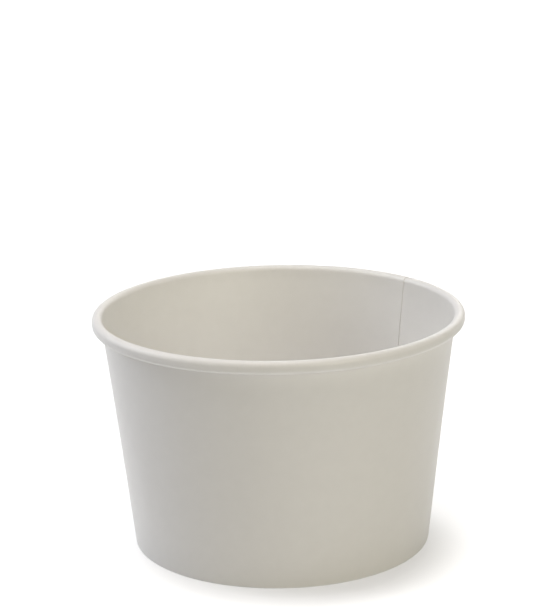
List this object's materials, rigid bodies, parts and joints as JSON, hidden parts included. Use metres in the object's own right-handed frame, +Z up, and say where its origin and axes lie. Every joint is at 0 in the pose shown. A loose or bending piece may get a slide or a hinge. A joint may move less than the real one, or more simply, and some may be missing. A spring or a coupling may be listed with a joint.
{
  "type": "paper sundae cup",
  "caption": "Plain white paper cup for ice cream: a tapered card wall with a rolled rim and a lap seam, closed by a recessed card bottom disc.",
  "frame": {"origin": "centre of the base at table level", "axes": "+Z up along the cup's axis, through the open mouth; the seam is 41 degrees counter-clockwise from +X"},
  "size_m": [0.097, 0.097, 0.062],
  "materials": {
    "wall_card": "satin",
    "disc_card": "satin"
  },
  "bodies": {
    "root": {"side_wall": "wall_card", "bottom_disc": "disc_card"}
  },
  "joints": []
}
